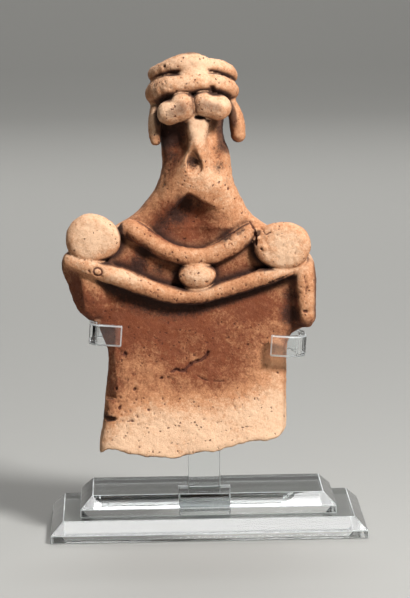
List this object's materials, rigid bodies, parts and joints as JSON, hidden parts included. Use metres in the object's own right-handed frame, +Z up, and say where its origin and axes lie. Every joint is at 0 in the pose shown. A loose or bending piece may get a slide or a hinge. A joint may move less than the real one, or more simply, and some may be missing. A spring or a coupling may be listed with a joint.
{
  "type": "broken terracotta idol on a clear acrylic stand",
  "caption": "Hand-modelled fired-clay idol with coil collars and shoulder discs, broken off at hips and arms, held upright by a clear stepped stand with a bent cradle.",
  "frame": {"origin": "centre of the stand's flat underside", "axes": "+Z up, along the idol's height; +X to the right as seen from the front; +Y towards the back"},
  "size_m": [0.125, 0.0703, 0.1919],
  "materials": {
    "fired_clay": "matt, unglazed, pitted and soot-stained in its hollows",
    "clear_acrylic": "clear, polished, with a frosted foot on the stem"
  },
  "bodies": {
    "root": {"figurine": "fired_clay", "acrylic_lower_step": "clear_acrylic", "acrylic_upper_step": "clear_acrylic", "acrylic_stem": "clear_acrylic", "acrylic_cradle": "clear_acrylic"}
  },
  "joints": []
}
